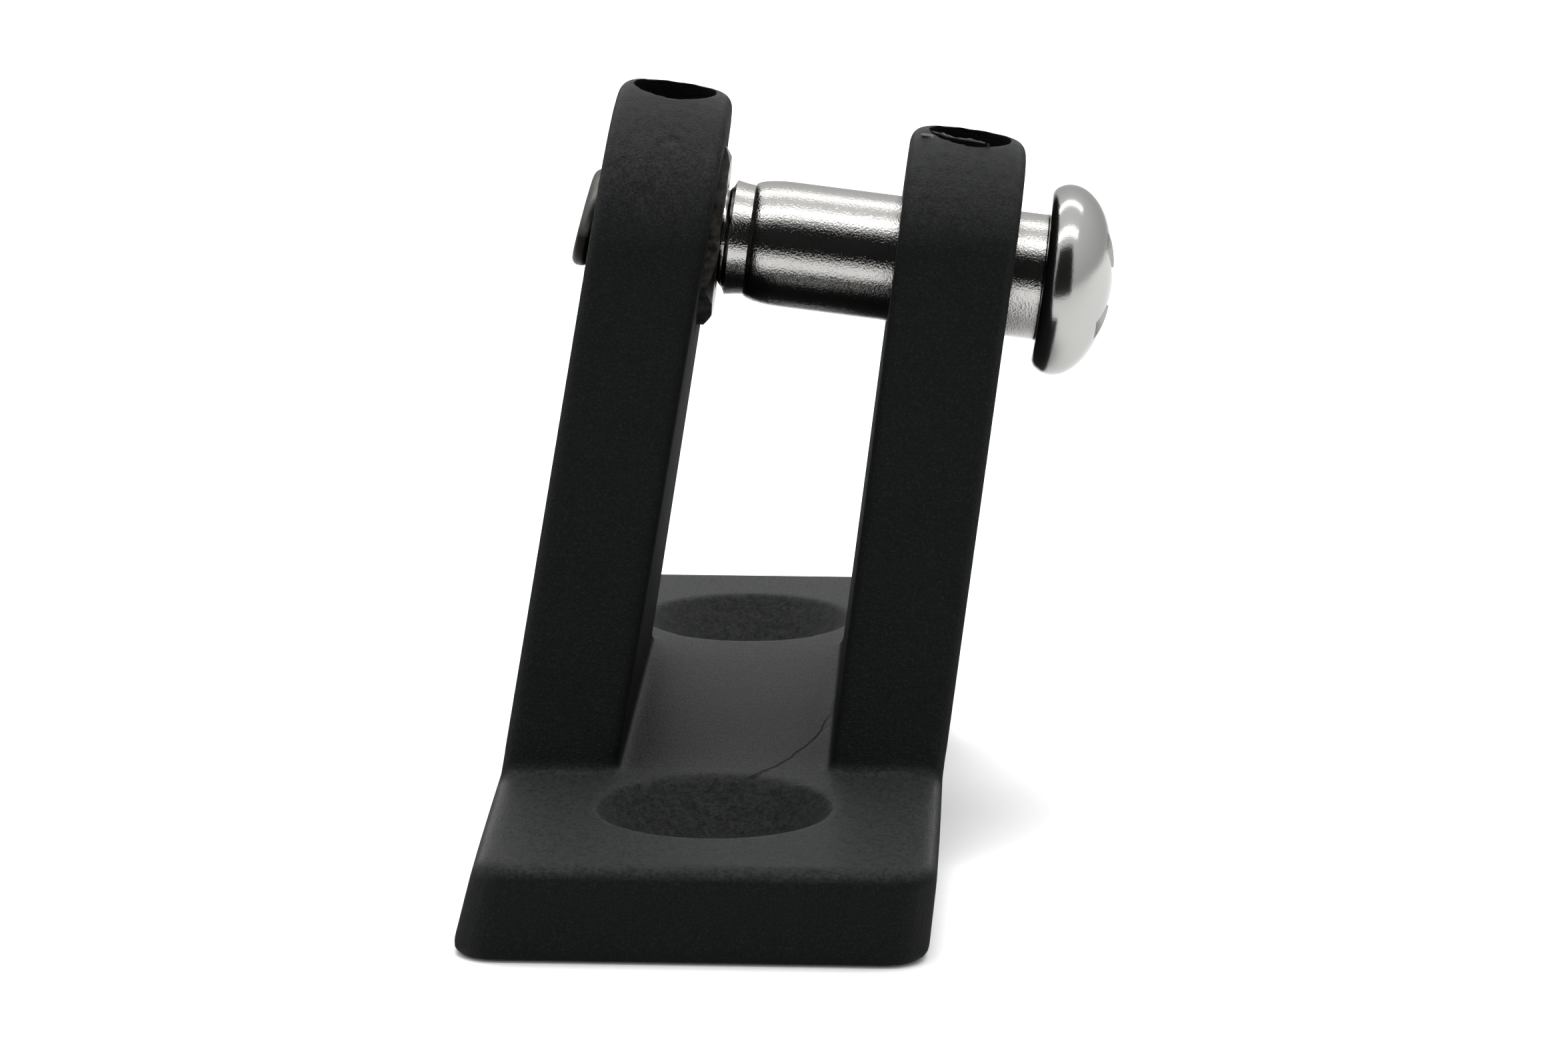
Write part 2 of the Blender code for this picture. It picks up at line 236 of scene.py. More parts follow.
# The cut end is painted darker towards its lower side: a painted dark reflection
CUT_END_SHADE_HEIGHT_MM = (-0.6, 0.4)
CUT_END_TOP = (0.10, 0.10, 0.095)
CUT_END_PAINTED_SHADE = (0.008, 0.007, 0.006)
POLISHED_ROUGHNESS = (0.08, 0.13)
HEAD_ROUGHNESS = 0.17
CUT_END_ROUGHNESS = 0.36
PIT_DEPTH_MM = 0.017
HEAD_PIT_SHARE = 0.25

# The nut's steel, its colour painted dark as the shade of its pocket, its lighter streaks
# painted reflections
NUT_SHADE_DARK = (0.018, 0.016, 0.014)
NUT_SHADE_LIGHT = (0.09, 0.085, 0.075)
NUT_ROUGHNESS = (0.42, 0.28)
NUT_PIT_DEPTH_MM = 0.015

# Camera
CAMERA_PLACE_MM = (11.24, -246.4, 65.26)
CAMERA_PITCH = math.radians(11.76)
CAMERA_TURN = math.radians(1.86)
CAMERA_ROLL = math.radians(0.33)
CAMERA_LENS = 113.4
CAMERA_SENSOR = 36.0
CAMERA_NEAREST = 0.01

# Studio: a pale floor and tent, the tent brighter overhead, and a black card that
# stands in front of the hinge and shows only in reflections
FLOOR_REACH = 3.0
FLOOR_Z = -0.1 * MM
FLOOR_DARK = (0.77, 0.77, 0.77)
FLOOR_LIGHT = (0.79, 0.79, 0.79)
FLOOR_ROUGHNESS = 0.8
TENT_SIDE_BRIGHTNESS = 0.80
TENT_TOP_BRIGHTNESS = 1.35
CARD_Y = -0.13
CARD_TOP_Z = 0.185
CARD_HALF_WIDTH = 0.095
CARD_COLOUR = (0.01, 0.01, 0.01)

# Rectangular lamps: name, place, target, size and power in watts
OVERHEAD_LAMPS = (
    ("overhead_front", (0.0, -0.12, 0.36), (0, 0, 0.03), (0.5, 0.06), 0.5),
    ("overhead_back", (0.0, 0.16, 0.36), (0, 0, 0.03), (0.5, 0.05), 0.35),
)
FLOOR_LAMP = ("floor_wash", (0.0, 0.40, 0.7), (0, 0.40, 0), (1.4, 0.8), 5.0)
FLOOR_LAMP_SPREAD = math.radians(60)


def leaning_matrix(middle, lean):
    """Places a shape made in millimetres at middle, leaning to the right."""
    return Matrix.Translation(middle) @ Matrix.Rotation(lean, 4, "Y") @ Matrix.Scale(MM, 4)


def pin_matrix(frame):
    """Places a shape made along X, in millimetres, onto the leaning pin axis."""
    joint = next(joint for joint in frame["joints"] if joint["name"] == "screw_withdraw")
    axis = Vector(joint["axis"]).normalized()
    low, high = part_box("hex_nut")
    middle = (low + high) / 2 - axis * NUT_STATION_MM * MM
    return leaning_matrix(middle, math.atan2(-axis.z, axis.x))


def extent_along(pin, node):
    """The first and last station and the widest radius of a CAD node, in millimetres."""
    to_pin = pin.inverted()
    points = [to_pin @ vertex.co for vertex in node.data.vertices]
    stations = [point.x for point in points]
    return min(stations), max(stations), max(math.hypot(point.y, point.z) for point in points)


def clamp(value):
    return min(1.0, max(0.0, value))


def new_object(name, bm, matrix=None, material=None):
    """Turns bm into an object of the scene, its faces pointing out."""
    if matrix is not None:
        bm.transform(matrix)
    bmesh.ops.recalc_face_normals(bm, faces=bm.faces)
    mesh = bpy.data.meshes.new(name)
    bm.to_mesh(mesh)
    bm.free()
    obj = bpy.data.objects.new(name, mesh)
    bpy.context.scene.collection.objects.link(obj)
    if material is not None:
        mesh.materials.append(material)
    return obj


def bake_modifiers(obj):
    """Replaces an object's mesh by what its modifiers make of it."""
    depsgraph = bpy.context.evaluated_depsgraph_get()
    mesh = bpy.data.meshes.new_from_object(obj.evaluated_get(depsgraph))
    obj.modifiers.clear()
    obj.data = mesh


def cut(obj, tool, operation="DIFFERENCE"):
    """Takes tool out of obj, or with INTERSECT keeps only what they share. Tool goes."""
    modifier = obj.modifiers.new(tool.name, "BOOLEAN")
    modifier.operation = operation
    modifier.object = tool
    bake_modifiers(obj)
    bpy.data.objects.remove(tool, do_unlink=True)


def loft(rings):
    """A closed solid whose skin runs from ring to ring."""
    bm = bmesh.new()
    loops = [[bm.verts.new(point) for point in ring] for ring in rings]
    count = len(loops[0])
    for low, high in zip(loops, loops[1:]):
        for i in range(count):
            j = (i + 1) % count
            bm.faces.new((low[i], low[j], high[j], high[i]))
    bm.faces.new(loops[0])
    bm.faces.new(loops[-1])
    return bm


def ring_about_x(x, radius, sides, turn=0.0):
    points = []
    for i in range(sides):
        angle = turn + 2 * math.pi * i / sides
        points.append(Vector((x, radius * math.cos(angle), radius * math.sin(angle))))
    return points


def quarter_ellipse(centre, reach, steps, rising):
    """Stations and radii along a quarter of an ellipse whose middle is at centre. A
    rising quarter climbs to its widest point, and a falling one comes down from it."""
    points = []
    for k in range(steps + 1):
        angle = math.pi / 2 * k / steps
        if rising:
            along, out = -math.cos(angle), math.sin(angle)
        else:
            along, out = math.sin(angle), math.cos(angle)
        points.append((centre[0] + reach[0] * along, centre[1] + reach[1] * out))
    return points


# ---------------------------------------------------------------- moulded body


def soften(bm, verts, rounds):
    """Rounds off corners by moving each vertex towards its neighbours."""
    for _ in range(rounds):
        bmesh.ops.smooth_vert(
            bm, verts=verts, factor=0.5, use_axis_x=True, use_axis_y=True, use_axis_z=True
        )


def cut_crown_holes(body, ears):
    """Trims the blind holes in the crowns, which gives their mouths a crisp rim."""
    circle = ring_about_x(0, CROWN_HOLE_RADIUS_MM, CROWN_HOLE_SIDES)
    for station, floor in zip(CROWN_HOLE_STATIONS_MM, CROWN_HOLE_FLOOR_MM):
        rings = []
        for z in (floor, CROWN_HOLE_TOP_MM):
            rings.append([Vector((station + p.y, CROWN_HOLE_Y_MM + p.z, z)) for p in circle])
        cut(body, new_object("crown_hole", loft(rings), ears))


def sum_of_waves(waves, angle):
    return sum(height * math.sin(count * angle + start) for height, count, start in waves)


def flash_ring(k):
    """One cross-section of the ragged sliver; its ends run out into the hole's wall."""
    share = k / FLASH_STEPS
    start, end = FLASH_ARC
    angle = start + (end - start) * share
    to_wall = CROWN_HOLE_RADIUS_MM - FLASH_RADIUS_MM + FLASH_BURIED_MM
    runout = to_wall * abs(2 * share - 1) ** FLASH_RUNOUT_POWER
    inner = FLASH_RADIUS_MM + sum_of_waves(FLASH_FACE_WAVES_MM, angle) + runout
    outer = inner + FLASH_THICKNESS_MM
    low, high = FLASH_SPAN_MM
    high += sum_of_waves(FLASH_RIM_WAVES_MM, angle)
    ring = []
    for radius, z in ((inner, low), (outer, low), (outer, high), (inner, high)):
        x = CROWN_HOLE_STATIONS_MM[1] + radius * math.cos(angle)
        ring.append(Vector((x, CROWN_HOLE_Y_MM + radius * math.sin(angle), z)))
    return ring


def add_moulding_scraps(body, ears):
    """Adds the sliver of flash and the scrap to the right crown."""
    flash = loft([flash_ring(k) for k in range(FLASH_STEPS + 1)])
    scrap = bmesh.new()
    bmesh.ops.create_icosphere(scrap, subdivisions=2, radius=1)
    scrap.transform(Matrix.Translation(SCRAP_PLACE_MM) @ Matrix.Diagonal((*SCRAP_REACH_MM, 1)))
    bm = bmesh.new()
    bm.from_mesh(body.data)
    for part in (flash, scrap):
        added = new_object("scrap", part, ears)
        bm.from_mesh(added.data)
        bpy.data.objects.remove(added, do_unlink=True)
    bm.to_mesh(body.data)
    bm.free()


def soften_body(body):
    """Rounds the body's edges as a moulding's are, and fillets the roots of the ears."""
    bm = bmesh.new()
    bm.from_mesh(body.data)
    soften(bm, bm.verts, EDGE_SMOOTHING)
    base_top = BASE_TOP_MM * MM
    low, high = base_top - ROOT_FILLET_REACH / 2, base_top + ROOT_FILLET_REACH
    near_root = []
    for vert in bm.verts:
        if low < vert.co.z < high and abs(vert.co.y) < ROOT_FILLET_HALF_LENGTH:
            near_root.append(vert)
    soften(bm, near_root, ROOT_SMOOTHING)
    bm.to_mesh(body.data)
    bm.free()


def make_body(node, ears, material):
    """The CAD body with a moulding's soft edges, crisp crown holes and scraps of flash."""
    body = bpy.data.objects.new("moulded_body", node.data.copy())
    bpy.context.scene.collection.objects.link(body)
    remesh = body.modifiers.new("remesh", "REMESH")
    remesh.mode = "VOXEL"
    remesh.voxel_size = VOXEL
    bake_modifiers(body)
    soften_body(body)
    decimate = body.modifiers.new("decimate", "DECIMATE")
    decimate.ratio = BODY_KEEP
    bake_modifiers(body)
    cut_crown_holes(body, ears)
    add_moulding_scraps(body, ears)
    body.data.materials.clear()
    body.data.materials.append(material)
    body.data.shade_smooth()
    body.data.set_sharp_from_angle(angle=BODY_SHARP_ANGLE)
    return body


# --------------------------------------------------------------------- screw


def thread_radius(x, angle):
    """The radius of the helical thread, in millimetres; its grooves fade at both ends."""
    phase = (x / THREAD_PITCH_MM - angle / (2 * math.pi)) % 1.0
    flank = clamp(THREAD_STEEPNESS * (1 - abs(2 * phase - 1)) - THREAD_ROOT_FLAT)
    tip_fade = clamp((x - THREAD_START_MM) / THREAD_PITCH_MM)
    neck_fade = clamp((THREAD_END_MM - x) / THREAD_NECK_FADE_MM)
    return THREAD_RADIUS_MM - THREAD_DEPTH_MM * (1 - flank) * min(tip_fade, neck_fade)


def thread_rings():
    """The thread's cross-sections, several to each pitch."""
    length = THREAD_END_MM - THREAD_START_MM
    count = round(length / THREAD_PITCH_MM * THREAD_STEPS_PER_PITCH)
    rings = []
    for k in range(count + 1):
        x = THREAD_START_MM + length * k / count
        ring = []
        for i in range(SCREW_SIDES):
            angle = 2 * math.pi * i / SCREW_SIDES
            radius = thread_radius(x, angle)
            ring.append(Vector((x, radius * math.cos(angle), radius * math.sin(angle))))
        rings.append(ring)
    return rings


def cross_ring(x, arm, width):
    """The recess's outline at one depth: a cross with arms this long and wide."""
    w = width / 2
    corner = [(arm, -w), (arm, w), (w, w)]
    points = []
    for quarter in range(4):
        turn = Matrix.Rotation(RECESS_TURN + quarter * math.pi / 2, 2)
        points += [turn @ Vector(point) for point in corner]
    return [Vector((x, p.x, p.y)) for p in points]


def tip_profile(tip):
    """The rounded end of the thread."""
    centre = (tip + TIP_ROUND_MM, THREAD_RADIUS_MM - TIP_ROUND_MM)
    return quarter_ellipse(centre, (TIP_ROUND_MM, TIP_ROUND_MM), TIP_ROUND_STEPS, rising=True)


def neck_profile():
    """A narrow collar, the groove behind it and the shoulder's rounded end."""
    centre = (SHOULDER_END_MM, GROOVE_MM[1])
    reach = (SHOULDER_END_MM - GROOVE_MM[0], SHOULDER_RADIUS_MM - GROOVE_MM[1])
    rounded_end = quarter_ellipse(centre, reach, SHOULDER_END_STEPS, rising=True)
    return [COLLAR_FACE_MM, COLLAR_CORNER_MM, COLLAR_BACK_MM] + rounded_end


def head_profile(apex, radius):
    """The fillet under the head, its rounded rim and its dome."""
    fillet_start = (HEAD_UNDERSIDE_MM - HEAD_FILLET_MM, SHOULDER_RADIUS_MM)
    fillet_end = (HEAD_UNDERSIDE_MM, SHOULDER_RADIUS_MM + HEAD_FILLET_MM)
    rim_centre = (HEAD_WIDEST_MM, HEAD_UNDERSIDE_RADIUS_MM)
    rim_reach = (HEAD_WIDEST_MM - HEAD_UNDERSIDE_MM, radius - HEAD_UNDERSIDE_RADIUS_MM)
    rim = quarter_ellipse(rim_centre, rim_reach, HEAD_RIM_STEPS, rising=True)
    dome_reach = (apex - HEAD_WIDEST_MM, radius)
    dome = quarter_ellipse((HEAD_WIDEST_MM, 0), dome_reach, HEAD_DOME_STEPS, rising=False)
    return [fillet_start, fillet_end] + rim + dome[1:-1]


def bend_tip(point):
    """The thread's outer end is cut at a slant and sits slightly high."""
    low, high = TIP_BEND_MM
    share = clamp((high - point.x) / (high - low))
    point.x += share * TIP_SLANT * (point.z + THREAD_RADIUS_MM)
    point.z += share * TIP_RISE_MM


def make_screw(node, pin, material):
    """The screw, turned from its tip to its head, with a helical thread and a recess."""
    tip, apex, head_radius = extent_along(pin, node)
    rings = [ring_about_x(x, r, SCREW_SIDES) for x, r in tip_profile(tip)]
    rings += thread_rings()
    for x, r in neck_profile() + head_profile(apex, head_radius):
        rings.append(ring_about_x(x, r, SCREW_SIDES))
    for ring in rings:
        for point in ring:
            bend_tip(point)
    bm = loft(rings)
    ends = [face for face in bm.faces if len(face.verts) == SCREW_SIDES]
    top = [face for face in ends if face.calc_center_median().x > 0]
    bmesh.ops.poke(bm, faces=top)["verts"][0].co.x = apex
    screw = new_object("shoulder_screw", bm, pin, material)
    floor = cross_ring(apex - RECESS_DEPTH_MM, RECESS_ARM_FLOOR_MM, RECESS_WIDTH_FLOOR_MM)
    mouth = cross_ring(apex + RECESS_OVERRUN_MM, RECESS_ARM_TOP_MM, RECESS_WIDTH_TOP_MM)
    cut(screw, new_object("cross_recess", loft([floor, mouth]), pin))
    screw.data.shade_smooth()
    screw.data.set_sharp_from_angle(angle=SCREW_SHARP_ANGLE)
    return screw


# ----------------------------------------------------------------------- nut


def make_nut(node, pin, material):
    """A hexagon whose corners are turned down at both faces, bored, its edges broken."""
    outer, inner, corner = extent_along(pin, node)
    flat = corner * math.cos(math.pi / 6)
    hexagon = loft([ring_about_x(x, corner, 6, math.pi / 6) for x in (outer, inner)])
    nut = new_object("captive_nut", hexagon, pin, material)
    narrow, wide = flat - NUT_TURNING_OVERLAP_MM, corner + NUT_CHAMFER_MM
    profile = (
        (outer - NUT_TURNING_OVERLAP_MM, narrow),
        (outer + 2 * NUT_CHAMFER_MM, wide),
        (inner - 2 * NUT_CHAMFER_MM, wide),
        (inner + NUT_TURNING_OVERLAP_MM, narrow),
    )
    turning = loft([ring_about_x(x, radius, NUT_TURNING_SIDES) for x, radius in profile])
    cut(nut, new_object("turning", turning, pin), "INTERSECT")
    bore_ends = (outer - NUT_BORE_OVERRUN_MM, inner + NUT_BORE_OVERRUN_MM)
    bore = loft([ring_about_x(x, NUT_BORE_MM, NUT_BORE_SIDES) for x in bore_ends])
    cut(nut, new_object("bore", bore, pin))
    bevel = nut.modifiers.new("edges", "BEVEL")
    bevel.width = NUT_EDGE_MM * MM
    bevel.segments = NUT_EDGE_SEGMENTS
    bevel.limit_method = "ANGLE"
    bevel.angle_limit = NUT_EDGE_ANGLE
    bake_modifiers(nut)
    nut.data.shade_smooth()
    nut.data.set_sharp_from_angle(angle=NUT_SHARP_ANGLE)
    return nut


# ----------------------------------------------------------------- materials


class Graph:
    """Short ways to add nodes to a node tree. A place, a source and a factor are
    outputs of other nodes, and places are in millimetres."""

    def __init__(self, tree):
        self.nodes = tree.nodes
        self.join = tree.links.new

    def add(self, kind, operation=None):
        node = self.nodes.new("ShaderNode" + kind)
        if operation is not None:
            node.operation = operation
        return node

    def place(self):
        """The place on the surface, in the object's own frame."""
        scale = self.add("VectorMath", "SCALE")
        scale.inputs["Scale"].default_value = 1 / MM
        self.join(self.add("TexCoord").outputs["Object"], scale.inputs[0])
        return scale.outputs[0]

    def in_frame(self, place, matrix):
        """A place as seen from the leaning frame that matrix describes."""
        mapping = self.add("Mapping")
        mapping.vector_type = "TEXTURE"
        mapping.inputs["Location"].default_value = matrix.translation / MM
        mapping.inputs["Rotation"].default_value = matrix.to_euler()
        self.join(place, mapping.inputs["Vector"])
        return mapping.outputs["Vector"]

    def xyz(self, vector):
        parts = self.add("SeparateXYZ")
        self.join(vector, parts.inputs[0])
        return parts.outputs

    def noise(self, place, scale, detail, roughness):
        noise = self.add("TexNoise")
        noise.inputs["Scale"].default_value = scale
        noise.inputs["Detail"].default_value = detail
        noise.inputs["Roughness"].default_value = roughness
        self.join(place, noise.inputs["Vector"])
        return noise.outputs["Fac"]

    def ramp(self, source, low, high, start=NOISE_LOW, end=NOISE_HIGH):
        """Goes from low to high while source goes from start to end, and stays there."""
        ramp = self.add("MapRange")
        ramp.inputs["From Min"].default_value = start
        ramp.inputs["From Max"].default_value = end
        ramp.inputs["To Min"].default_value = low
        ramp.inputs["To Max"].default_value = high
        self.join(source, ramp.inputs["Value"])
        return ramp.outputs["Result"]

    def absolute(self, source):
        node = self.add("Math", "ABSOLUTE")
        self.join(source, node.inputs[0])
        return node.outputs[0]

    def product(self, source, *others):
        for other in others:
            node = self.add("Math", "MULTIPLY")
            self.join(source, node.inputs[0])
            self.join(other, node.inputs[1])
            source = node.outputs[0]
        return source

    def mix_colour(self, factor, first, second):
        """Mixes two colours, each a tuple or another node's output."""
        mix = self.add("Mix")
        mix.data_type = "RGBA"
        for colour, socket in ((first, mix.inputs[6]), (second, mix.inputs[7])):
            if isinstance(colour, tuple):
                socket.default_value = (*colour, 1)
            else:
                self.join(colour, socket)
        self.join(factor, mix.inputs["Factor"])
        return mix.outputs[2]

    def mix_number(self, factor, source, number):
        """Goes from source to a plain number as factor goes from 0 to 1."""
        mix = self.add("Mix")
        self.join(factor, mix.inputs["Factor"])
        self.join(source, mix.inputs[2])
        mix.inputs[3].default_value = number
        return mix.outputs[0]

    def bump(self, height, depth_mm, under=None):
        """The normal of a relief this deep, laid over another normal."""
        bump = self.add("Bump")
        bump.inputs["Distance"].default_value = depth_mm * MM
        bump.inputs["Strength"].default_value = 1.0
        self.join(height, bump.inputs["Height"])
        if under is not None:
            self.join(under, bump.inputs["Normal"])
        return bump.outputs["Normal"]

    def scaled_distance(self, place, centre, reach):
        """How far place is from centre, where 1 is the skin of an ellipsoid of that reach."""
        for operation, values in (("SUBTRACT", centre), ("DIVIDE", reach)):
            step = self.add("VectorMath", operation)
            step.inputs[1].default_value = values
            self.join(place, step.inputs[0])
            place = step.outputs[0]
        distance = self.add("VectorMath", "LENGTH")
        self.join(place, distance.inputs[0])
        return distance.outputs["Value"]


def new_material(name):
    """A Principled material, the graph that adds to it and its shader's inputs."""
    material = bpy.data.materials.new(name)
    material.use_nodes = True
    graph = Graph(material.node_tree)
    return material, graph, graph.nodes["Principled BSDF"].inputs


def witness_line(graph, place):
    """The faint, wavering oval line that a mould insert leaves between the ears; only
    its near right quarter shows."""
    waver = graph.noise(place, *WAVER_NOISE)
    shift = graph.add("VectorMath", "ADD")
    graph.join(place, shift.inputs[0])
    graph.join(graph.ramp(waver, -WITNESS_WAVER_MM, WITNESS_WAVER_MM), shift.inputs[1])
    distance = graph.scaled_distance(shift.outputs[0], WITNESS_CENTRE_MM, WITNESS_REACH_MM)
    past_line = graph.add("Math", "SUBTRACT")
    graph.join(distance, past_line.inputs[0])
    past_line.inputs[1].default_value = 1.0
    off_line = graph.absolute(past_line.outputs[0])
    parts = graph.xyz(place)
    under_top = [BASE_TOP_MM - depth for depth in WITNESS_UNDER_TOP_MM]
    return graph.product(
        graph.ramp(off_line, 1, 0, WITNESS_WIDTH / 2, WITNESS_WIDTH),
        graph.ramp(parts["Y"], 1, 0, *WITNESS_END_Y_MM),
        graph.ramp(parts["Z"], 0, 1, *under_top),
        graph.ramp(parts["X"], 0, 1, *WITNESS_START_X_MM),
    )


def crown_hole_distance(graph, place_in_ears):
    """How far a place is from the axis of the nearer crown hole, in millimetres."""
    parts = graph.xyz(place_in_ears)
    folded = graph.add("CombineXYZ")
    graph.join(graph.absolute(parts["X"]), folded.inputs["X"])
    graph.join(parts["Y"], folded.inputs["Y"])
    axis = (CROWN_HOLE_STATIONS_MM[1], CROWN_HOLE_Y_MM, 0)
    return graph.scaled_distance(folded.outputs[0], axis, (1, 1, 1))


def scuffs(graph, place, mottle, grain):
    """Patchy scuffs that grow up the crowns."""
    return graph.product(
        graph.ramp(graph.xyz(place)["Z"], 0, 1, *SCUFF_HEIGHT_MM),
        graph.ramp(mottle, *SCUFF_MOTTLE),
        graph.ramp(grain, *SCUFF_GRAIN),
    )


def painted_top_light(graph, place, facing, mottle, grit):
    """Painted light on what faces up, most at the base's ends, less between the ears as painted
    shade.
    """
    off_middle = graph.absolute(graph.xyz(place)["Y"])
    return graph.product(
        graph.ramp(facing["Z"], 0, 1, *TOP_LIGHT_FACING_UP),
        graph.ramp(off_middle, TOP_LIGHT_MIDDLE_SHARE, 1, *TOP_LIGHT_Y_MM),
        graph.ramp(mottle, *TOP_LIGHT_MOTTLE),
        graph.ramp(grit, *TOP_LIGHT_GRIT),
    )


def flash_and_scrap(graph, place_in_ears, from_hole):
    """Where the sliver of flash shows inside a crown hole, and the scrap beside it."""
    pale = [FLASH_SPAN_MM[1] - depth for depth in FLASH_PALE_MM]
    inside = [CROWN_HOLE_RADIUS_MM - depth for depth in FLASH_INSIDE_MM]
    flash = graph.product(
        graph.ramp(graph.xyz(place_in_ears)["Z"], 0, 1, *pale),
        graph.ramp(from_hole, 1, 0, *inside),
    )
    from_scrap = graph.scaled_distance(place_in_ears, SCRAP_PLACE_MM, SCRAP_REACH_MM)
    return flash, graph.ramp(from_scrap, 1, 0, *SCRAP_FADE)


def make_nylon(ears):
    """Satin black moulded nylon: fine grain, faint cloudiness, scuffed crowns round holes
    painted black inside as shade, painted light on the tops, pale flash and the oval
    line of a mould insert."""
    material, graph, shader = new_material("black_nylon")
    place = graph.place()
    place_in_ears = graph.in_frame(place, ears)
    facing = graph.xyz(graph.add("NewGeometry").outputs["Normal"])
    mottle = graph.noise(place, *MOTTLE_NOISE)
    grit = graph.noise(place, *GRIT_NOISE)
    grain = graph.noise(place, *GRAIN_NOISE)
    line = witness_line(graph, place)
    from_hole = crown_hole_distance(graph, place_in_ears)
    # Painted shade: black inside the crown holes
    hole_shade_edge = (CROWN_HOLE_RADIUS_MM, CROWN_HOLE_RADIUS_MM + HOLE_SHADE_FADE_MM)
    flash, scrap = flash_and_scrap(graph, place_in_ears, from_hole)

    layers = (
        (graph.ramp(grain, *SPECK_PATCHES), SPECK_COLOUR),
        (scuffs(graph, place, mottle, grain), SCUFF_COLOUR),
        # Painted light on the tops, held back between the ears as painted shade
        (painted_top_light(graph, place, facing, mottle, grit), TOP_LIGHT_COLOUR),
        (line, WITNESS_COLOUR),
        (graph.ramp(from_hole, 1, 0, *hole_shade_edge), HOLE_PAINTED_SHADE_COLOUR),
        (flash, FLASH_COLOUR),
        (scrap, SCRAP_COLOUR),
    )
    colour = graph.mix_colour(graph.noise(place, *CLOUD_NOISE), NYLON_DARK, NYLON_LIGHT)
    for mask, tint in layers:
        colour = graph.mix_colour(mask, colour, tint)
    graph.join(colour, shader["Base Color"])

    rough = graph.ramp(grain, *NYLON_ROUGHNESS)
    sideways = graph.ramp(graph.absolute(facing["X"]), 0, 1, *NYLON_FACING_SIDE)
    graph.join(graph.mix_number(sideways, rough, NYLON_SIDE_ROUGHNESS), shader["Roughness"])

    from_dent = graph.scaled_distance(place_in_ears, DENT_PLACE_MM, DENT_REACH_MM)
    reliefs = (
        (graph.noise(place, *WAVE_NOISE), WAVE_RELIEF_MM),
        (mottle, MOTTLE_RELIEF_MM),
        (grit, GRIT_RELIEF_MM),
        (grain, GRAIN_RELIEF_MM),
        (graph.ramp(from_dent, 0, 1, *DENT_FADE), DENT_RELIEF_MM),
        (line, WITNESS_RELIEF_MM),
    )
    normal = None
    for height, depth_mm in reliefs:
        normal = graph.bump(height, depth_mm, under=normal)
    graph.join(normal, shader["Normal"])
    shader["Specular IOR Level"].default_value = NYLON_SPECULAR
    return material


def make_polished_steel(pin):
    """Polished stainless steel, finely pitted, with faint handling marks; the head is
    satin and the cut end of the thread is dark, its lower side painted darker as shade."""
    material, graph, shader = new_material("stainless_screw")
    place = graph.place()
    place_on_pin = graph.xyz(graph.in_frame(place, pin))
    smear = graph.noise(place, *SMEAR_NOISE)
    head = graph.ramp(place_on_pin["X"], 0, 1, *HEAD_START_MM)
    cut_end = graph.ramp(place_on_pin["X"], 1, 0, *CUT_END_MM)
    # Painted shade: the cut end darkens towards its lower side, a painted dark reflection
    painted_shade_below = graph.ramp(place_on_pin["Z"], 1, 0, *CUT_END_SHADE_HEIGHT_MM)

    colour = graph.mix_colour(smear, STEEL_LIGHT, STEEL_DARK)
    colour = graph.mix_colour(head, colour, STEEL_HEAD)
    colour = graph.mix_colour(cut_end, colour, graph.mix_colour(painted_shade_below, CUT_END_TOP, CUT_END_PAINTED_SHADE))
    graph.join(colour, shader["Base Color"])

    rough = graph.ramp(smear, *POLISHED_ROUGHNESS)
    rough = graph.mix_number(head, rough, HEAD_ROUGHNESS)
    rough = graph.mix_number(cut_end, rough, CUT_END_ROUGHNESS)
    graph.join(rough, shader["Roughness"])

    fleck = graph.noise(place, *FLECK_NOISE)
    pits = graph.product(fleck, graph.ramp(head, 1, HEAD_PIT_SHARE, 0, 1))
    graph.join(graph.bump(pits, PIT_DEPTH_MM), shader["Normal"])
    shader["Metallic"].default_value = 1.0
    shader["Specular Tint"].default_value = (*STEEL_TINT, 1)
    return material


def make_dull_steel():
    """The nut's steel: dull, its colour painted dark as shade, with lighter streaks as painted
    reflections.
    """
    material, graph, shader = new_material("stainless_nut")
    place = graph.place()
    streak = graph.noise(place, *STREAK_NOISE)
    tone = graph.ramp(streak, *NUT_STREAKS)
    # Painted shade: a near-black colour, with lighter streaks as painted reflections
    graph.join(graph.mix_colour(tone, NUT_SHADE_DARK, NUT_SHADE_LIGHT), shader["Base Color"])
    graph.join(graph.ramp(streak, *NUT_ROUGHNESS), shader["Roughness"])
    pitting = graph.noise(place, *PITTING_NOISE)
    graph.join(graph.bump(pitting, NUT_PIT_DEPTH_MM), shader["Normal"])
    shader["Metallic"].default_value = 1.0
    return material


def make_floor_material():
    material, graph, shader = new_material("pale_floor")
    tone = graph.noise(graph.place(), *FLOOR_NOISE)
    graph.join(graph.mix_colour(tone, FLOOR_DARK, FLOOR_LIGHT), shader["Base Color"])
    shader["Roughness"].default_value = FLOOR_ROUGHNESS
    return material


# --------------------------------------------------------------------- stage


def make_floor():
    bm = bmesh.new()
    far = FLOOR_REACH
    corners = ((-far, -far), (far, -far), (far, far), (-far, far))
    bm.faces.new([bm.verts.new((x, y, FLOOR_Z)) for x, y in corners])
    floor = new_object("floor", bm, material=make_floor_material())


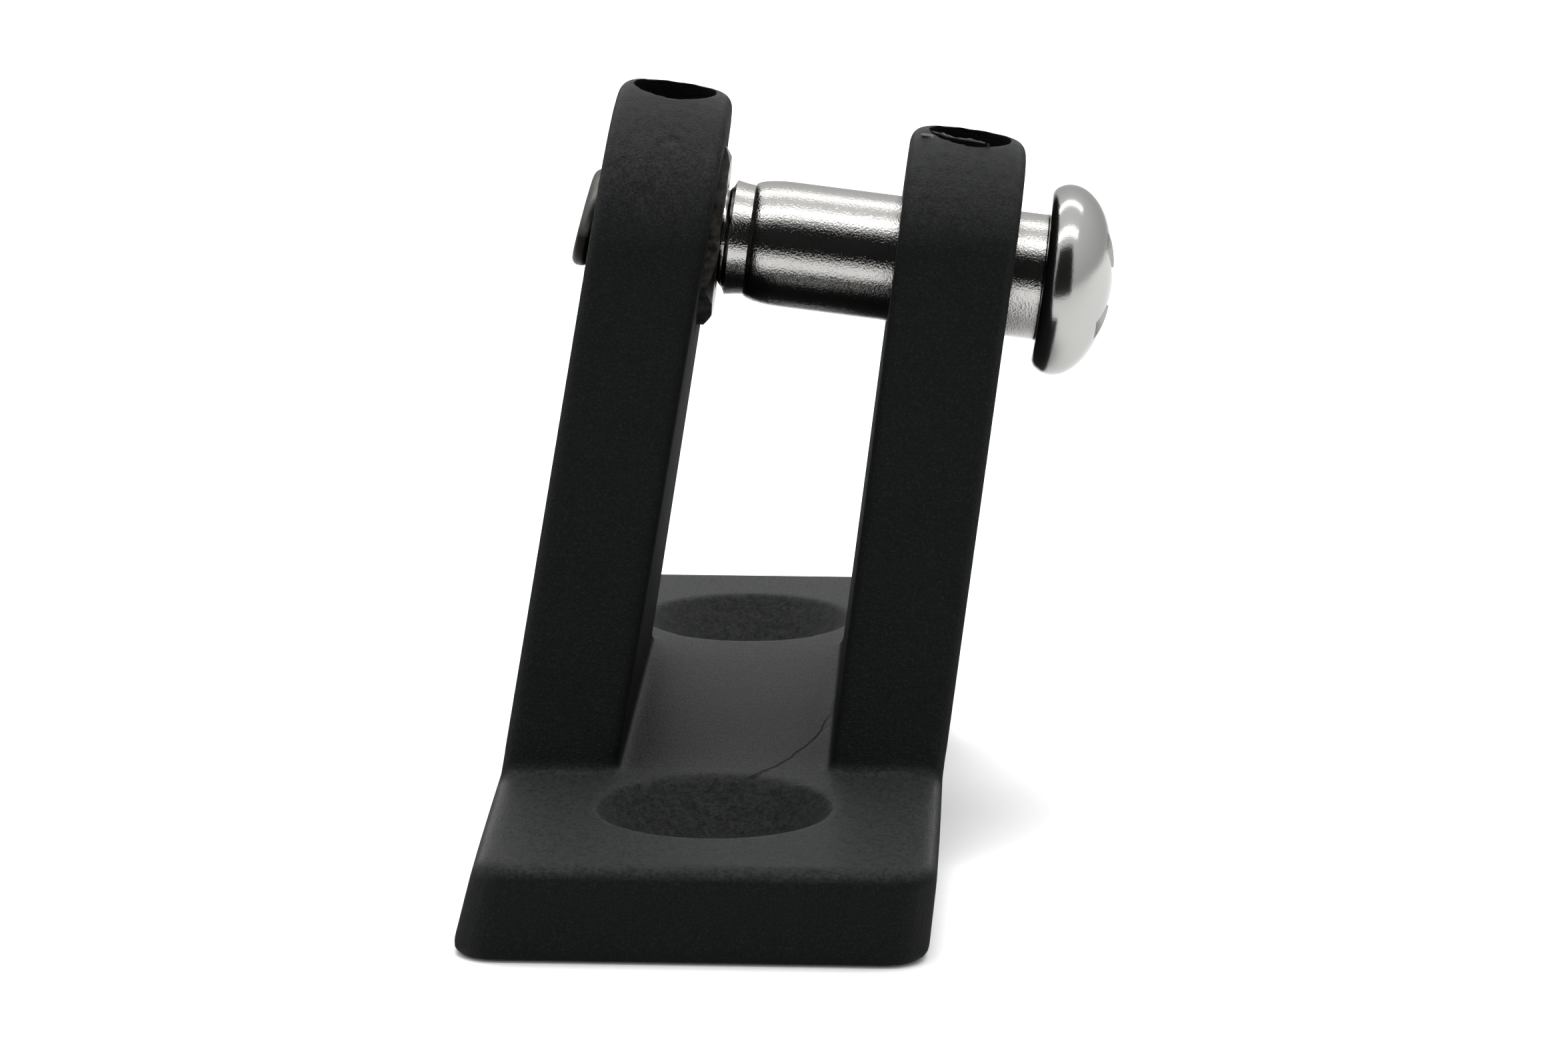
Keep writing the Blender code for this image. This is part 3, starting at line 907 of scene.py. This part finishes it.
def make_camera():
    data = bpy.data.cameras.new("camera")
    data.lens = CAMERA_LENS
    data.sensor_width = CAMERA_SENSOR
    data.sensor_fit = "HORIZONTAL"
    data.clip_start = CAMERA_NEAREST
    camera = bpy.data.objects.new("camera", data)
    bpy.context.scene.collection.objects.link(camera)
    aim = Matrix.Rotation(CAMERA_TURN, 4, "Z")
    aim @= Matrix.Rotation(math.pi / 2 - CAMERA_PITCH, 4, "X")
    aim @= Matrix.Rotation(CAMERA_ROLL, 4, "Z")
    camera.matrix_world = Matrix.Translation(Vector(CAMERA_PLACE_MM) * MM) @ aim
    bpy.context.scene.camera = camera


def add_lamp(name, place, target, size, power):
    """A rectangular lamp at place that faces target."""
    data = bpy.data.lights.new(name, "AREA")
    data.shape = "RECTANGLE"
    data.size, data.size_y = size
    data.energy = power
    light = bpy.data.objects.new(name, data)
    bpy.context.scene.collection.objects.link(light)
    light.location = place
    light.rotation_euler = (Vector(target) - Vector(place)).to_track_quat("-Z", "Y").to_euler()
    return light


def make_tent():
    """The world: evenly pale all round, and brighter towards the top."""
    world = bpy.data.worlds.new("tent")
    world.use_nodes = True
    graph = Graph(world.node_tree)
    background = graph.nodes["Background"]
    height = graph.xyz(graph.add("TexCoord").outputs["Generated"])["Z"]
    brightness = graph.ramp(height, TENT_SIDE_BRIGHTNESS, TENT_TOP_BRIGHTNESS, 0, 1)
    graph.join(brightness, background.inputs["Strength"])
    background.inputs["Color"].default_value = (1, 1, 1, 1)
    bpy.context.scene.world = world


def make_card():
    """The black card in front, which only reflections see."""
    bm = bmesh.new()
    wide = CARD_HALF_WIDTH
    corners = ((-wide, 0), (wide, 0), (wide, CARD_TOP_Z), (-wide, CARD_TOP_Z))
    bm.faces.new([bm.verts.new((x, CARD_Y, z)) for x, z in corners])
    material, _, shader = new_material("black_card")
    shader["Base Color"].default_value = (*CARD_COLOUR, 1)
    shader["Specular IOR Level"].default_value = 0.0
    card = new_object("black_card", bm, material=material)
    card.visible_camera = False
    card.visible_diffuse = False
    card.visible_shadow = False


def make_light():
    """The tent, two narrow lamps overhead and a wash that whitens the floor behind."""
    make_tent()
    for lamp in OVERHEAD_LAMPS:
        add_lamp(*lamp)
    wash = add_lamp(*FLOOR_LAMP)
    wash.visible_glossy = False
    wash.data.spread = FLOOR_LAMP_SPREAD
    bpy.context.scene.view_settings.view_transform = "Standard"


def main():
    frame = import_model()
    nodes = frame["nodes"]
    pin = pin_matrix(frame)
    ears = leaning_matrix(pin.translation, EAR_LEAN)
    hinge = make_body(nodes["hinge_body"], ears, make_nylon(ears))
    nut = make_nut(nodes["hex_nut"], pin, make_dull_steel())
    screw = make_screw(nodes["pivot_screw"], pin, make_polished_steel(pin))
    pieces = (
        (hinge, "hinge", "hinge_body", "black_nylon"),
        (nut, "hinge", "hex_nut", "stainless_nut"),
        (screw, "screw", "pivot_screw", "stainless_screw"),
    )
    for piece, body, node, slot in pieces:
        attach(piece, body)
        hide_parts(node)
    make_floor()
    make_card()
    make_camera()
    make_light()


main()
